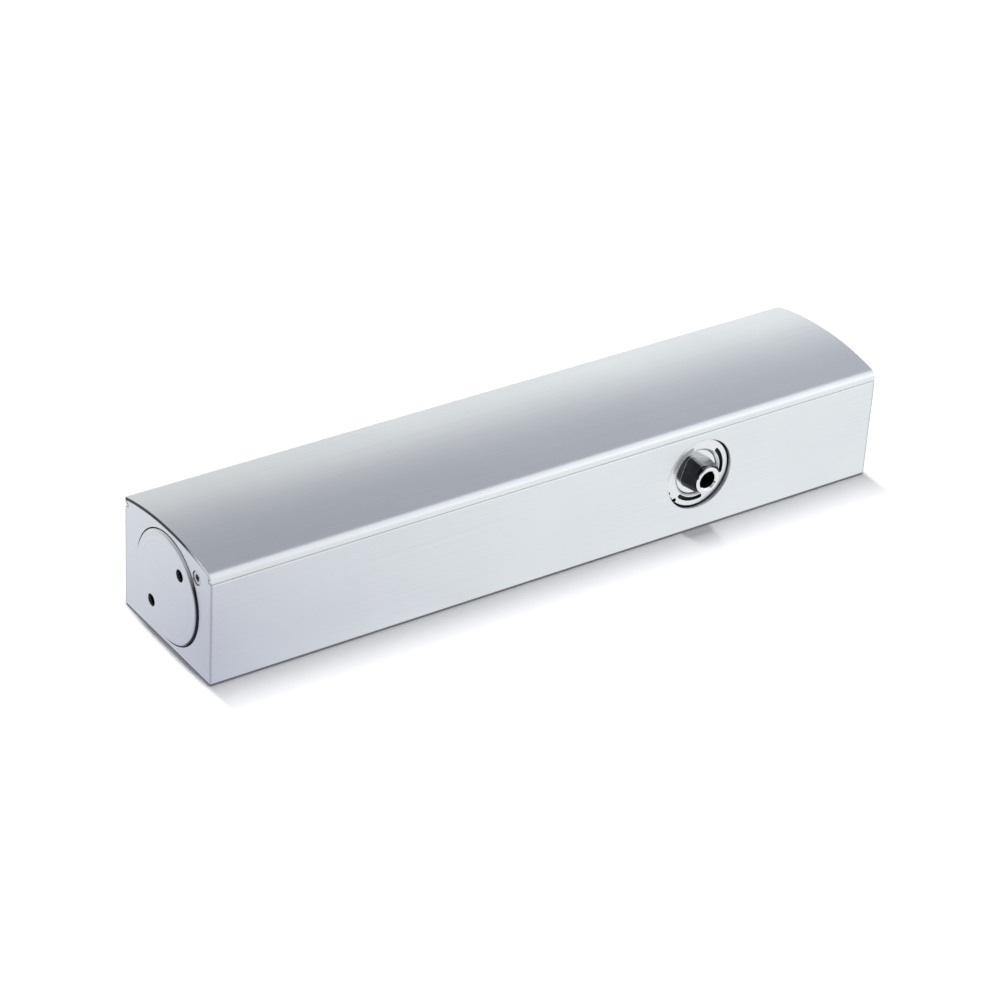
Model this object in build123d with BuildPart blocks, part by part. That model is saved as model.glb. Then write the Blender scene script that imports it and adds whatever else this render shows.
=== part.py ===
"""Overhead door closer with a slim rectangular body and an arched slide-on cover.

The closer lies on its back. The origin is the centre of the mounting face,
+X runs along the body, -Y points out of the spindle side and +Z points from
the mounting face up to the cover. All sizes are in millimetres.
"""

import os
from math import atan, ceil, cos, floor, pi, radians, sin, sqrt, tan

from build123d import *

# Body and cover
body_length = 292.0
body_width = 60.0
body_height = 48.8
arch_radius = 120.0
cover_corner_radius = 4.0
cover_back_radius = 0.6
cover_thickness = 1.0
cover_depth = 6.9
cover_hook_depth = 0.8
cover_hook_height = 0.8
cover_clearance = 0.3
cover_crown_gap = 0.5
shoulder_flattening = 11.0
shoulder_back_radius = 1.0
seam_gap = 0.35
seam_chamfer = 0.5
base_chamfer = 0.8

# Cylinder bore and its two end plugs
bore_drop = 0.4
plug_head_wall = 2.6
plug_head_gap = 0.45
plug_head_length = 3.0
plug_head_stand = 0.9
plug_thread_shoulder = 0.8
plug_thread_length = 10.0
plug_seat_width = 1.6
plug_nose_length = 5.0
plug_edge_chamfer = 0.9
pin_hole_radius = 2.4
pin_hole_inset = 7.0
pin_hole_depth = 4.0
pin_hole_angle = 133.0
thread_clearance = 0.05
nose_clearance = 0.06

# Seals that lie in turned grooves
seal_fit = 0.02
plug_groove_width = 2.4
plug_groove_depth = 2.0
plug_groove_offset = 1.3
cap_groove_width = 1.6
cap_groove_depth = 1.1
cap_groove_offset = 1.2
valve_groove_width = 1.5
valve_groove_depth = 0.8
valve_groove_offset = 3.6

# Bearing caps, bushes and washers around the spindle
spindle_from_end = 82.0
cap_seat_radius = 14.6
cap_rim_gap = 0.5
cap_rim_length = 2.3
cap_recess = 1.5
cap_hole_radius = 13.2
cap_length = 9.1
cap_eye_gap = 0.15
cap_eye_chamfer = 0.9
cap_edge_chamfer = 0.35
cap_slot_radius = 11.1
cap_slot_width = 1.6
cap_slot_depth = 1.3
cap_slot_span = 54.0
cap_slot_count = 3
cap_slot_angle = 15.0
stake_hole_radius = 0.9
stake_hole_reach = 13.6
stake_hole_angle = 223.0
stake_notch_width = 1.4
stake_notch_length = 1.6
stake_notch_angle = 204.0
stake_depth = 1.2
journal_radius = 9.0
running_clearance = 0.05
end_clearance = 0.1
bush_wall = 1.8
bush_length = 4.8
bush_fit = 0.02
shaft_seal_length = 2.2
shaft_seal_lip = 0.7
shaft_seal_hollow = 0.9
rear_cap_floor_gap = 0.3
thrust_washer_radius = 12.4
thrust_washer_thickness = 0.7
collar_radius = 10.4
collar_length = 1.2

# Spindle end that takes the arm
spindle_reach = 5.3
spindle_shoulder_inset = 1.0
spindle_tip_radius = 5.3
spindle_tip_length = 1.6
spindle_tip_chamfer = 0.3
square_base = 12.2
square_tip = 10.8
square_base_corner_radius = 7.3
square_tip_corner_radius = 6.4
square_corner_angle = 116.0
arm_screw_radius = 3.4
arm_screw_depth = 16.0
arm_screw_countersink = 0.6

# Rack and pinion
gear_module = 1.6
pinion_teeth = 12
pressure_angle = 20.0
profile_shift = 0.3
root_factor = 1.25
gear_backlash = 0.3
pinion_face_width = 24.0
neck_radius = 7.6
opening_angle = 180.0

# Piston and the check valve in its right head
piston_clearance = 0.05
piston_head_length = 14.0
piston_edge_chamfer = 0.8
window_clearance = 1.4
rail_collar_gap = 0.2
oil_way_radius = 3.0
check_valve_offset = 8.5
check_bore_radius = 3.6
check_bore_depth = 9.0
check_port_radius = 1.6
poppet_radius = 3.0
poppet_length = 3.2
poppet_chamfer = 0.8
retainer_length = 2.2
retainer_hole_radius = 1.4
retainer_fit = 0.02

# Closing spring and its seat
spring_seat_clearance = 0.8
spring_seat_thickness = 3.0
spring_pilot_clearance = 0.5
spring_pilot_length = 6.0
spring_pilot_chamfer = 0.6
spring_bore_clearance = 1.1
spring_wire = 6.2
spring_turns = 10
spring_wire_sides = 6
spring_end_gap = 0.05

# Regulating valves and the oil ways beside the bore
valve_angle = 37.0
valve_wall = 0.32
valve_radius = 2.7
valve_clearance = 0.05
valve_recess = 0.4
valve_edge_chamfer = 0.3
valve_body_length = 11.0
valve_needle_length = 3.0
valve_needle_radius = 0.6
valve_bore_length = 18.0
hex_width = 2.5
hex_depth = 2.2
gallery_radius = 1.1
gallery_inset = 2.0
gallery_rise = 0.2
gallery_overlap = 2.0
port_radius = 1.0
spring_chamber_port_inset = 6.0
backcheck_port_distance = 44.0
return_port_distance = 34.0
closing_port_distance = 36.0
latching_port_inset = 3.4

# Mounting screw holes under the cover
mount_hole_from_end = 29.0
mount_hole_wall = 1.25
mount_hole_radius = 2.75
mount_head_radius = 4.4
mount_head_depth = 5.3

# Places worked out from the sizes above
half_length = body_length / 2
half_width = body_width / 2
cover_edge_height = body_height - cover_depth
seam_height = cover_edge_height - seam_gap
shoulder_half_width = half_width - cover_thickness - cover_clearance
shoulder_height = body_height - cover_thickness - cover_crown_gap
shoulder_arch_radius = arch_radius + shoulder_flattening
shoulder_corner_radius = cover_corner_radius - cover_thickness - cover_clearance
groove_half_width = shoulder_half_width - cover_hook_depth
groove_height = seam_gap + cover_hook_height + cover_clearance
bore_height = body_height / 2 - bore_drop
plug_head_radius = bore_height - plug_head_wall
plug_thread_radius = plug_head_radius - plug_thread_shoulder
bore_radius = plug_thread_radius - plug_seat_width
pin_hole_reach = plug_head_radius - pin_hole_inset
plug_length = plug_head_length + plug_thread_length + plug_nose_length
plug_nose_radius = bore_radius - nose_clearance
plug_inner_x = half_length - plug_length
spindle_x = half_length - spindle_from_end
cap_face = half_width - cap_recess
cap_inner_reach = cap_face - cap_length
cap_rim_floor = cap_face - cap_rim_length
cap_rim_radius = cap_seat_radius - cap_rim_gap
cap_body_radius = cap_hole_radius - thread_clearance
bush_inner_radius = journal_radius + running_clearance
bush_outer_radius = bush_inner_radius + bush_wall
bush_end = cap_inner_reach + bush_length
cap_pocket_radius = bush_outer_radius + bush_fit
shaft_seal_start = bush_end + end_clearance
shaft_seal_end = shaft_seal_start + shaft_seal_length
rear_cap_floor = bush_end + rear_cap_floor_gap
collar_end = cap_inner_reach - thrust_washer_thickness - end_clearance
collar_start = collar_end - collar_length
square_start = cap_face - spindle_shoulder_inset
spindle_end = half_width + spindle_reach
square_end = spindle_end - spindle_tip_length
pitch_radius = gear_module * pinion_teeth / 2
base_radius = pitch_radius * cos(radians(pressure_angle))
tip_radius = pitch_radius + gear_module * (1 + profile_shift)
root_radius = pitch_radius - gear_module * (root_factor - profile_shift)
tooth_pitch = pi * gear_module
rack_line = bore_height + pitch_radius + gear_module * profile_shift
rack_tip = rack_line - gear_module
rack_root = rack_line + gear_module * root_factor
piston_travel = radians(opening_angle) * pitch_radius
piston_radius = bore_radius - piston_clearance
window_reach = tip_radius + window_clearance
window_left = spindle_x - window_reach
window_right = spindle_x + window_reach + piston_travel
piston_left = window_left - piston_head_length
piston_right = window_right + piston_head_length
spring_radius = bore_radius - spring_bore_clearance - spring_wire / 2
spring_pilot_radius = spring_radius - spring_wire / 2 - spring_pilot_clearance
spring_seat_radius = bore_radius - spring_seat_clearance
spring_left = spring_seat_thickness - plug_inner_x + spring_end_gap
spring_right = piston_left - spring_end_gap
valve_bore_radius = valve_radius + valve_clearance
valve_reach = plug_head_radius + plug_head_gap + valve_wall + valve_bore_radius
valve_offset = valve_reach * cos(radians(valve_angle))
valve_height = bore_height + valve_reach * sin(radians(valve_angle))
gallery_offset = valve_offset - gallery_inset
gallery_height = valve_height + gallery_rise
spring_chamber_port_x = spring_chamber_port_inset - plug_inner_x
backcheck_port_x = spindle_x - backcheck_port_distance
return_port_x = spindle_x - return_port_distance
closing_port_x = spindle_x + closing_port_distance
latching_port_x = plug_inner_x - latching_port_inset
mount_hole_x = half_length - mount_hole_from_end
mount_hole_y = bore_radius + mount_hole_wall + mount_hole_radius
mount_head_floor = shoulder_height - mount_head_depth

spindle_centre = Vector(spindle_x, 0, bore_height)
FRONT, REAR = -1, 1
LEFT, RIGHT = -1, 1

os.makedirs("parts", exist_ok=True)


def arched_section(width, height, top_radius, front_radius, back_radius):
    """Rectangle standing on the base line, with an arched top and a round on each shoulder."""
    with Locations((0, height / 2)):
        Rectangle(width, height)
    with Locations((0, height - top_radius)):
        Circle(top_radius, mode=Mode.INTERSECT)
    shoulders = vertices().group_by(Axis.Y)[-1].sort_by(Axis.X)
    fillet(shoulders[0], front_radius)
    fillet(shoulders[-1], back_radius)


def turned(start, direction, points, mode=Mode.ADD):
    """Solid of revolution; points are (distance from start along direction, radius)."""
    along = Vector(*direction)
    sideways = Vector(0, 0, 1)
    with BuildSketch(Plane(origin=start, x_dir=along, z_dir=along.cross(sideways))) as outline:
        Polygon(*points, align=None)
    revolve(outline.sketch, axis=Axis(start, direction), mode=mode)


def drill(start, direction, radius, length):
    """Round hole from a point along a direction."""
    with BuildSketch(Plane(origin=start, z_dir=direction)) as outline:
        Circle(radius)
    extrude(outline.sketch, amount=length, mode=Mode.SUBTRACT)


def spindle_plane(side, reach):
    """Plane square to the spindle, with X as its own x and Z as its own y direction."""
    return Plane(origin=spindle_centre + Vector(0, side * reach, 0), x_dir=(1, 0, 0), z_dir=(0, -1, 0))


def arc_slot(radius, width, middle, span):
    """Slot along an arc about the sketch's origin, with round ends."""
    with BuildLine() as outline:
        outer = CenterArc((0, 0), radius + width / 2, middle - span / 2, span)
        inner = CenterArc((0, 0), radius - width / 2, middle - span / 2, span)
        Line(outer @ 0, inner @ 0)
        Line(outer @ 1, inner @ 1)
    make_face(outline.edges())
    with PolarLocations(radius, 2, start_angle=middle - span / 2, angular_range=span, endpoint=True):
        Circle(width / 2)


def finish(part, name):
    """Name a finished piece and write it."""
    part.label = name
    export_step(part, f"parts/{name}.step")


# Aluminium body: outline, bore, plug seats, cap holes, screw holes and oil ways.
with BuildPart() as housing:
    with BuildSketch(Plane.YZ.offset(-half_length)):
        arched_section(
            2 * shoulder_half_width,
            shoulder_height,
            shoulder_arch_radius,
            shoulder_corner_radius,
            shoulder_back_radius,
        )
        with Locations((0, seam_height / 2)):
            Rectangle(body_width, seam_height)
        chamfer(vertices().group_by(Axis.Y)[0], base_chamfer)
        seam_edges = vertices().filter_by_position(Axis.Y, seam_height, seam_height).sort_by(Axis.X)
        chamfer([seam_edges[0], seam_edges[-1]], seam_chamfer)
        with Locations((0, seam_height + groove_height / 2)):
            with GridLocations(2 * groove_half_width + cover_hook_depth, 0, 2, 1):
                Rectangle(cover_hook_depth, groove_height, mode=Mode.SUBTRACT)
    extrude(amount=body_length)

    drill((-half_length, 0, bore_height), (1, 0, 0), bore_radius, body_length)
    for end in (LEFT, RIGHT):
        mouth = (end * half_length, 0, bore_height)
        drill(mouth, (-end, 0, 0), plug_head_radius + plug_head_gap, plug_head_length)
        drill(mouth, (-end, 0, 0), plug_thread_radius, plug_head_length + plug_thread_length)
    for side in (FRONT, REAR):
        mouth = (spindle_x, side * half_width, bore_height)
        drill(mouth, (0, -side, 0), cap_seat_radius, half_width - cap_rim_floor)
        drill(mouth, (0, -side, 0), cap_hole_radius, half_width)
    for x in (-mount_hole_x, mount_hole_x):
        for y in (-mount_hole_y, mount_hole_y):
            drill((x, y, body_height), (0, 0, -1), mount_head_radius, body_height - mount_head_floor)
            drill((x, y, body_height), (0, 0, -1), mount_hole_radius, body_height)

    oil_ways = (
        (LEFT, FRONT, backcheck_port_x, (backcheck_port_x, spring_chamber_port_x)),
        (RIGHT, FRONT, return_port_x, (return_port_x, closing_port_x)),
        (RIGHT, REAR, return_port_x, (return_port_x, latching_port_x)),
    )
    for end, side, gallery_end, ports in oil_ways:
        mouth = (end * half_length, side * valve_offset, valve_height)
        drill(mouth, (-end, 0, 0), valve_bore_radius, valve_bore_length)
        gallery_start = end * (half_length - valve_bore_length + gallery_overlap)
        drill(
            (gallery_start, side * gallery_offset, gallery_height),
            (-end, 0, 0),
            gallery_radius,
            abs(gallery_start - gallery_end) + gallery_overlap,
        )
        for port_x in ports:
            port_mouth = Vector(port_x, side * gallery_offset, gallery_height)
            to_axis = Vector(port_x, 0, bore_height) - port_mouth
            drill(port_mouth, to_axis, port_radius, to_axis.length / 2)
finish(housing.part, "housing")

# Arched cover with a hooked lip along each side that slides in the body's groove.
with BuildPart() as cover:
    with BuildSketch(Plane.YZ.offset(-half_length)):
        arched_section(body_width, body_height, arch_radius, cover_corner_radius, cover_back_radius)
        offset(amount=-cover_thickness, mode=Mode.SUBTRACT)
        with Locations((0, cover_edge_height / 2)):
            Rectangle(body_width, cover_edge_height, mode=Mode.SUBTRACT)
        with Locations((0, cover_edge_height + cover_hook_height / 2)):
            with GridLocations(body_width - 2 * cover_thickness - cover_hook_depth, 0, 2, 1):
                Rectangle(cover_hook_depth, cover_hook_height)
    extrude(amount=body_length)
finish(cover.part, "cover")

# End plugs with two blind holes for a pin wrench, and the seals in their nose grooves.
plug_groove = plug_head_length + plug_thread_length + plug_groove_offset
for end, name in ((LEFT, "left"), (RIGHT, "right")):
    face_centre = (end * half_length, 0, bore_height)
    inward = (-end, 0, 0)
    with BuildPart() as end_plug:
        turned(
            face_centre,
            inward,
            [
                (-plug_head_stand, 0),
                (-plug_head_stand, plug_head_radius - plug_edge_chamfer),
                (plug_edge_chamfer - plug_head_stand, plug_head_radius),
                (plug_head_length, plug_head_radius),
                (plug_head_length, plug_thread_radius - thread_clearance),
                (plug_head_length + plug_thread_length, plug_thread_radius - thread_clearance),
                (plug_head_length + plug_thread_length, plug_nose_radius),
                (plug_groove, plug_nose_radius),
                (plug_groove, plug_nose_radius - plug_groove_depth),
                (plug_groove + plug_groove_width, plug_nose_radius - plug_groove_depth),
                (plug_groove + plug_groove_width, plug_nose_radius),
                (plug_length, plug_nose_radius),
                (plug_length, 0),
            ],
        )
        with BuildSketch(Plane.YZ.offset(end * (half_length + plug_head_stand))):
            with Locations((0, bore_height)):
                with PolarLocations(pin_hole_reach, 2, start_angle=pin_hole_angle):
                    Circle(pin_hole_radius)
        extrude(amount=-end * pin_hole_depth, mode=Mode.SUBTRACT)
    finish(end_plug.part, f"{name}_end_plug")

    with BuildPart() as plug_seal:
        turned(
            face_centre,
            inward,
            [
                (plug_groove + seal_fit, plug_nose_radius - plug_groove_depth + seal_fit),
                (plug_groove + seal_fit, bore_radius - seal_fit),
                (plug_groove + plug_groove_width - seal_fit, bore_radius - seal_fit),
                (
                    plug_groove + plug_groove_width - seal_fit,
                    plug_nose_radius - plug_groove_depth + seal_fit,
                ),
            ],
        )
    finish(plug_seal.part, f"{name}_plug_seal")

# Bearing caps: the front one lets the spindle through, the rear one is closed.
cap_groove_end = cap_rim_floor - cap_groove_offset
cap_groove_start = cap_groove_end - cap_groove_width
cap_outline = [
    (cap_inner_reach, cap_pocket_radius),
    (cap_inner_reach, cap_body_radius),
    (cap_groove_start, cap_body_radius),
    (cap_groove_start, cap_body_radius - cap_groove_depth),
    (cap_groove_end, cap_body_radius - cap_groove_depth),
    (cap_groove_end, cap_body_radius),
    (cap_rim_floor, cap_body_radius),
    (cap_rim_floor, cap_rim_radius),
    (cap_face - cap_edge_chamfer, cap_rim_radius),
    (cap_face, cap_rim_radius - cap_edge_chamfer),
]
cap_eye_radius = journal_radius + cap_eye_gap
front_cap_inside = [
    (cap_face, cap_eye_radius + cap_eye_chamfer),
    (cap_face - cap_eye_chamfer, cap_eye_radius),
    (shaft_seal_end, cap_eye_radius),
    (shaft_seal_end, cap_pocket_radius),
]
rear_cap_inside = [(cap_face, 0), (rear_cap_floor, 0), (rear_cap_floor, cap_pocket_radius)]
for side, name, inside in ((FRONT, "front", front_cap_inside), (REAR, "rear", rear_cap_inside)):
    outward = (0, side, 0)
    with BuildPart() as bearing_cap:
        turned(spindle_centre, outward, cap_outline + inside)
        with BuildSketch(spindle_plane(side, cap_face)):
            for slot_index in range(cap_slot_count):
                middle = cap_slot_angle + slot_index * 360 / cap_slot_count
                arc_slot(cap_slot_radius, cap_slot_width, middle, cap_slot_span)
        extrude(amount=side * cap_slot_depth, mode=Mode.SUBTRACT)
        with BuildSketch(spindle_plane(side, cap_face)):
            with PolarLocations(stake_hole_reach, 1, start_angle=stake_hole_angle):
                Circle(stake_hole_radius)
            with PolarLocations(cap_rim_radius, 1, start_angle=stake_notch_angle):
                Rectangle(stake_notch_length, stake_notch_width)
        extrude(amount=side * stake_depth, mode=Mode.SUBTRACT)
    finish(bearing_cap.part, f"{name}_bearing_cap")

    with BuildPart() as cap_seal:
        turned(
            spindle_centre,
            outward,
            [
                (cap_groove_start + seal_fit, cap_body_radius - cap_groove_depth + seal_fit),
                (cap_groove_start + seal_fit, cap_hole_radius - seal_fit),
                (cap_groove_end - seal_fit, cap_hole_radius - seal_fit),
                (cap_groove_end - seal_fit, cap_body_radius - cap_groove_depth + seal_fit),
            ],
        )
    finish(cap_seal.part, f"{name}_cap_seal")

    with BuildPart() as bush:
        turned(
            spindle_centre,
            outward,
            [
                (cap_inner_reach, bush_inner_radius),
                (cap_inner_reach, bush_outer_radius),
                (bush_end, bush_outer_radius),
                (bush_end, bush_inner_radius),
            ],
        )
    finish(bush.part, f"{name}_bush")

    with BuildPart() as thrust_washer:
        turned(
            spindle_centre,
            outward,
            [
                (collar_end + end_clearance, bush_inner_radius),
                (collar_end + end_clearance, thrust_washer_radius),
                (cap_inner_reach, thrust_washer_radius),
                (cap_inner_reach, bush_inner_radius),
            ],
        )
    finish(thrust_washer.part, f"{name}_thrust_washer")

# Lip seal that keeps the oil in around the spindle.
with BuildPart() as shaft_seal:
    turned(
        spindle_centre,
        (0, FRONT, 0),
        [
            (shaft_seal_start, bush_outer_radius - shaft_seal_lip),
            (shaft_seal_start, bush_outer_radius),
            (shaft_seal_end, bush_outer_radius),
            (shaft_seal_end, bush_inner_radius),
            (shaft_seal_end - shaft_seal_lip, bush_inner_radius),
            (shaft_seal_end - shaft_seal_hollow, bush_outer_radius - shaft_seal_lip),
        ],
    )
finish(shaft_seal.part, "shaft_seal")


def involute_angle(radius):
    """Polar angle of the tooth flank at a radius, from where it leaves the base circle."""
    roll = sqrt((radius / base_radius) ** 2 - 1)
    return roll - atan(roll)


def tooth_half_angle(radius):
    """Half the angle that one pinion tooth covers at a radius."""
    thickness = tooth_pitch / 2 + 2 * profile_shift * gear_module * tan(radians(pressure_angle))
    at_pitch = (thickness - gear_backlash / 2) / (2 * pitch_radius)
    return at_pitch + involute_angle(pitch_radius) - involute_angle(radius)


def flank_point(radius, hand):
    """Point on one flank of the tooth that points along the sketch's x direction."""
    angle = hand * tooth_half_angle(radius)
    return (radius * cos(angle), radius * sin(angle))


# One pinion tooth: involute flanks, and straight ones from the base circle into the core.
flank_middle = (base_radius + tip_radius) / 2
flank_foot = (root_radius - gear_backlash) / base_radius
with BuildSketch() as tooth:
    with BuildLine():
        lower_flank = ThreePointArc(
            flank_point(base_radius, -1), flank_point(flank_middle, -1), flank_point(tip_radius, -1)
        )
        tip = ThreePointArc(lower_flank @ 1, (tip_radius, 0), flank_point(tip_radius, 1))
        upper_flank = ThreePointArc(tip @ 1, flank_point(flank_middle, 1), flank_point(base_radius, 1))
        upper_foot = Line(upper_flank @ 1, (upper_flank @ 1) * flank_foot)
        lower_foot = Line((lower_flank @ 0) * flank_foot, lower_flank @ 0)
        Line(upper_foot @ 1, lower_foot @ 0)
    make_face()

# Tapered square of the spindle, its corners turned down to a cone.
with BuildPart() as spindle_square:
    turned(
        spindle_centre,
        (0, FRONT, 0),
        [
            (square_start, 0),
            (square_start, square_base_corner_radius),
            (square_end, square_tip_corner_radius),
            (square_end, 0),
        ],
    )
    with BuildSketch(spindle_plane(FRONT, square_start)):
        Rectangle(square_base, square_base, rotation=square_corner_angle - 45)
    with BuildSketch(spindle_plane(FRONT, square_end)):
        Rectangle(square_tip, square_tip, rotation=square_corner_angle - 45)
    loft(mode=Mode.INTERSECT)

# Pinion and spindle in one piece of steel, with a tapped hole for the arm's screw.
with BuildPart() as pinion_shaft:
    turned(
        spindle_centre,
        (0, FRONT, 0),
        [
            (-bush_end, 0),
            (-bush_end, journal_radius),
            (-collar_end, journal_radius),
            (-collar_end, collar_radius),
            (-collar_start, collar_radius),
            (-collar_start, neck_radius),
            (collar_start, neck_radius),
            (collar_start, collar_radius),
            (collar_end, collar_radius),
            (collar_end, journal_radius),
            (square_start, journal_radius),
            (square_start, 0),
        ],
    )
    with BuildSketch(spindle_plane(REAR, pinion_face_width / 2)):
        Circle(root_radius)
        with PolarLocations(0, pinion_teeth, start_angle=90):
            add(tooth.sketch)
    extrude(amount=pinion_face_width)
    add(spindle_square.part)
    turned(
        spindle_centre,
        (0, FRONT, 0),
        [
            (square_end, 0),
            (square_end, spindle_tip_radius),
            (spindle_end - spindle_tip_chamfer, spindle_tip_radius),
            (spindle_end, spindle_tip_radius - spindle_tip_chamfer),
            (spindle_end, 0),
        ],
    )
    turned(
        spindle_centre,
        (0, FRONT, 0),
        [
            (spindle_end, 0),
            (spindle_end, arm_screw_radius + arm_screw_countersink),
            (spindle_end - arm_screw_countersink, arm_screw_radius),
            (spindle_end - arm_screw_depth, arm_screw_radius),
            (spindle_end - arm_screw_depth - arm_screw_radius, 0),
        ],
        mode=Mode.SUBTRACT,
    )
finish(pinion_shaft.part, "pinion_shaft")

# Piston: two heads joined by rails, with the rack cut into the upper rail.
rack_tooth_half = tooth_pitch / 4 - gear_backlash / 4
rack_slope = tan(radians(pressure_angle))
first_tooth = ceil((window_left - spindle_x) / tooth_pitch)
last_tooth = floor((window_right - spindle_x) / tooth_pitch) - 1
with BuildPart() as piston:
    turned(
        (piston_left, 0, bore_height),
        (1, 0, 0),
        [
            (-spring_pilot_length, 0),
            (-spring_pilot_length, spring_pilot_radius - spring_pilot_chamfer),
            (spring_pilot_chamfer - spring_pilot_length, spring_pilot_radius),
            (0, spring_pilot_radius),
            (0, piston_radius - piston_edge_chamfer),
            (piston_edge_chamfer, piston_radius),
            (piston_right - piston_left - piston_edge_chamfer, piston_radius),
            (piston_right - piston_left, piston_radius - piston_edge_chamfer),
            (piston_right - piston_left, 0),
        ],
    )
    with BuildSketch(Plane.XZ):
        window_bottom = bore_height - window_reach
        with Locations(((window_left + window_right) / 2, (window_bottom + rack_root) / 2)):
            Rectangle(window_right - window_left, rack_root - window_bottom)
        for tooth_index in range(first_tooth, last_tooth + 1):
            tooth_x = spindle_x + (tooth_index + 0.5) * tooth_pitch
            tip_half = rack_tooth_half - (rack_line - rack_tip) * rack_slope
            root_half = rack_tooth_half + (rack_root - rack_line) * rack_slope
            Polygon(
                (tooth_x - tip_half, rack_tip),
                (tooth_x + tip_half, rack_tip),
                (tooth_x + root_half, rack_root),
                (tooth_x - root_half, rack_root),
                align=None,
                mode=Mode.SUBTRACT,
            )
    extrude(amount=bore_radius, both=True, mode=Mode.SUBTRACT)
    for side in (FRONT, REAR):
        with BuildSketch(Plane.XZ.offset(-side * (collar_start - rail_collar_gap))):
            with Locations(((window_left + window_right) / 2, bore_height)):
                Rectangle(window_right - window_left, 2 * bore_radius)
        extrude(amount=-side * bore_radius, mode=Mode.SUBTRACT)
    oil_way_length = spring_pilot_length + piston_head_length
    oil_way_start = (piston_left - spring_pilot_length, 0, bore_height)
    drill(oil_way_start, (1, 0, 0), oil_way_radius, oil_way_length)
    check_mouth = (piston_right, 0, bore_height + check_valve_offset)
    drill(check_mouth, (-1, 0, 0), check_bore_radius, check_bore_depth)
    drill(check_mouth, (-1, 0, 0), check_port_radius, piston_head_length)
finish(piston.part, "piston")

# Check valve: a flat poppet on its seat, held in by a drilled retainer.
with BuildPart() as check_valve_poppet:
    turned(
        check_mouth,
        (-1, 0, 0),
        [
            (check_bore_depth, 0),
            (check_bore_depth, poppet_radius - poppet_chamfer),
            (check_bore_depth - poppet_chamfer, poppet_radius),
            (check_bore_depth - poppet_length, poppet_radius),
            (check_bore_depth - poppet_length, 0),
        ],
    )
finish(check_valve_poppet.part, "check_valve_poppet")

with BuildPart() as check_valve_retainer:
    turned(
        check_mouth,
        (-1, 0, 0),
        [
            (0, retainer_hole_radius),
            (0, check_bore_radius - retainer_fit),
            (retainer_length, check_bore_radius - retainer_fit),
            (retainer_length, retainer_hole_radius),
        ],
    )
finish(check_valve_retainer.part, "check_valve_retainer")

# Closing spring: one open coil along the bore, with both ends ground flat.
spring_length = spring_right - spring_left
spring_pitch = spring_length / spring_turns
spring_start = Vector(spring_left - spring_pitch / 2, 0, bore_height)
with BuildPart() as closing_spring:
    with BuildLine():
        coil = Helix(
            spring_pitch,
            spring_length + spring_pitch,
            spring_radius,
            center=spring_start,
            direction=(1, 0, 0),
        )
    with BuildSketch(Plane(origin=coil @ 0, z_dir=coil % 0)):
        RegularPolygon(spring_wire / 2, spring_wire_sides)
    sweep(path=coil, is_frenet=True)
    with BuildSketch(Plane.YZ.offset(spring_left)):
        with Locations((0, bore_height)):
            Circle(spring_radius + spring_wire)
    extrude(amount=spring_length, mode=Mode.INTERSECT)
finish(closing_spring.part, "closing_spring")
print(f"least gap between turns of the closing spring: {spring_pitch - spring_wire:.2f} mm")

# Seat between the closing spring and the left end plug.
with BuildPart() as spring_seat:
    turned(
        (-plug_inner_x, 0, bore_height),
        (1, 0, 0),
        [
            (0, 0),
            (0, spring_seat_radius),
            (spring_seat_thickness, spring_seat_radius),
            (spring_seat_thickness, spring_pilot_radius),
            (spring_seat_thickness + spring_pilot_length - spring_pilot_chamfer, spring_pilot_radius),
            (spring_seat_thickness + spring_pilot_length, spring_pilot_radius - spring_pilot_chamfer),
            (spring_seat_thickness + spring_pilot_length, 0),
        ],
    )
finish(spring_seat.part, "spring_seat")

# Regulating valve screws, each with a hexagon socket, a seal and a metering needle.
valve_groove_floor = valve_radius - valve_groove_depth
needle_end = valve_body_length + valve_needle_length
for end, side, name in (
    (LEFT, FRONT, "backcheck_valve"),
    (RIGHT, FRONT, "closing_valve"),
    (RIGHT, REAR, "latching_valve"),
):
    face_centre = (end * half_length, side * valve_offset, valve_height)
    inward = (-end, 0, 0)
    with BuildPart() as valve:
        turned(
            face_centre,
            inward,
            [
                (valve_recess, 0),
                (valve_recess, valve_radius - valve_edge_chamfer),
                (valve_recess + valve_edge_chamfer, valve_radius),
                (valve_groove_offset, valve_radius),
                (valve_groove_offset, valve_groove_floor),
                (valve_groove_offset + valve_groove_width, valve_groove_floor),
                (valve_groove_offset + valve_groove_width, valve_radius),
                (valve_body_length, valve_radius),
                (needle_end, valve_needle_radius),
                (needle_end, 0),
            ],
        )
        with BuildSketch(Plane(origin=face_centre, z_dir=inward)):
            RegularPolygon(hex_width / 2, 6, major_radius=False)
        extrude(amount=valve_recess + hex_depth, mode=Mode.SUBTRACT)
    finish(valve.part, name)

    with BuildPart() as valve_seal:
        turned(
            face_centre,
            inward,
            [
                (valve_groove_offset + seal_fit, valve_groove_floor + seal_fit),
                (valve_groove_offset + seal_fit, valve_bore_radius - seal_fit),
                (valve_groove_offset + valve_groove_width - seal_fit, valve_bore_radius - seal_fit),
                (valve_groove_offset + valve_groove_width - seal_fit, valve_groove_floor + seal_fit),
            ],
        )
    finish(valve_seal.part, f"{name}_seal")
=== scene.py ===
"""Overhead door closer of satin aluminium, on a pale floor in soft studio light.

All lengths are in metres unless a name ends in _MM. The closer lies on its
mounting face: +X runs along it, -Y faces the front with the spindle, +Z is up.
"""

from collections import namedtuple
from math import cos, pi, radians, sin

import bmesh
import bpy
from mathutils import Matrix, Vector


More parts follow.
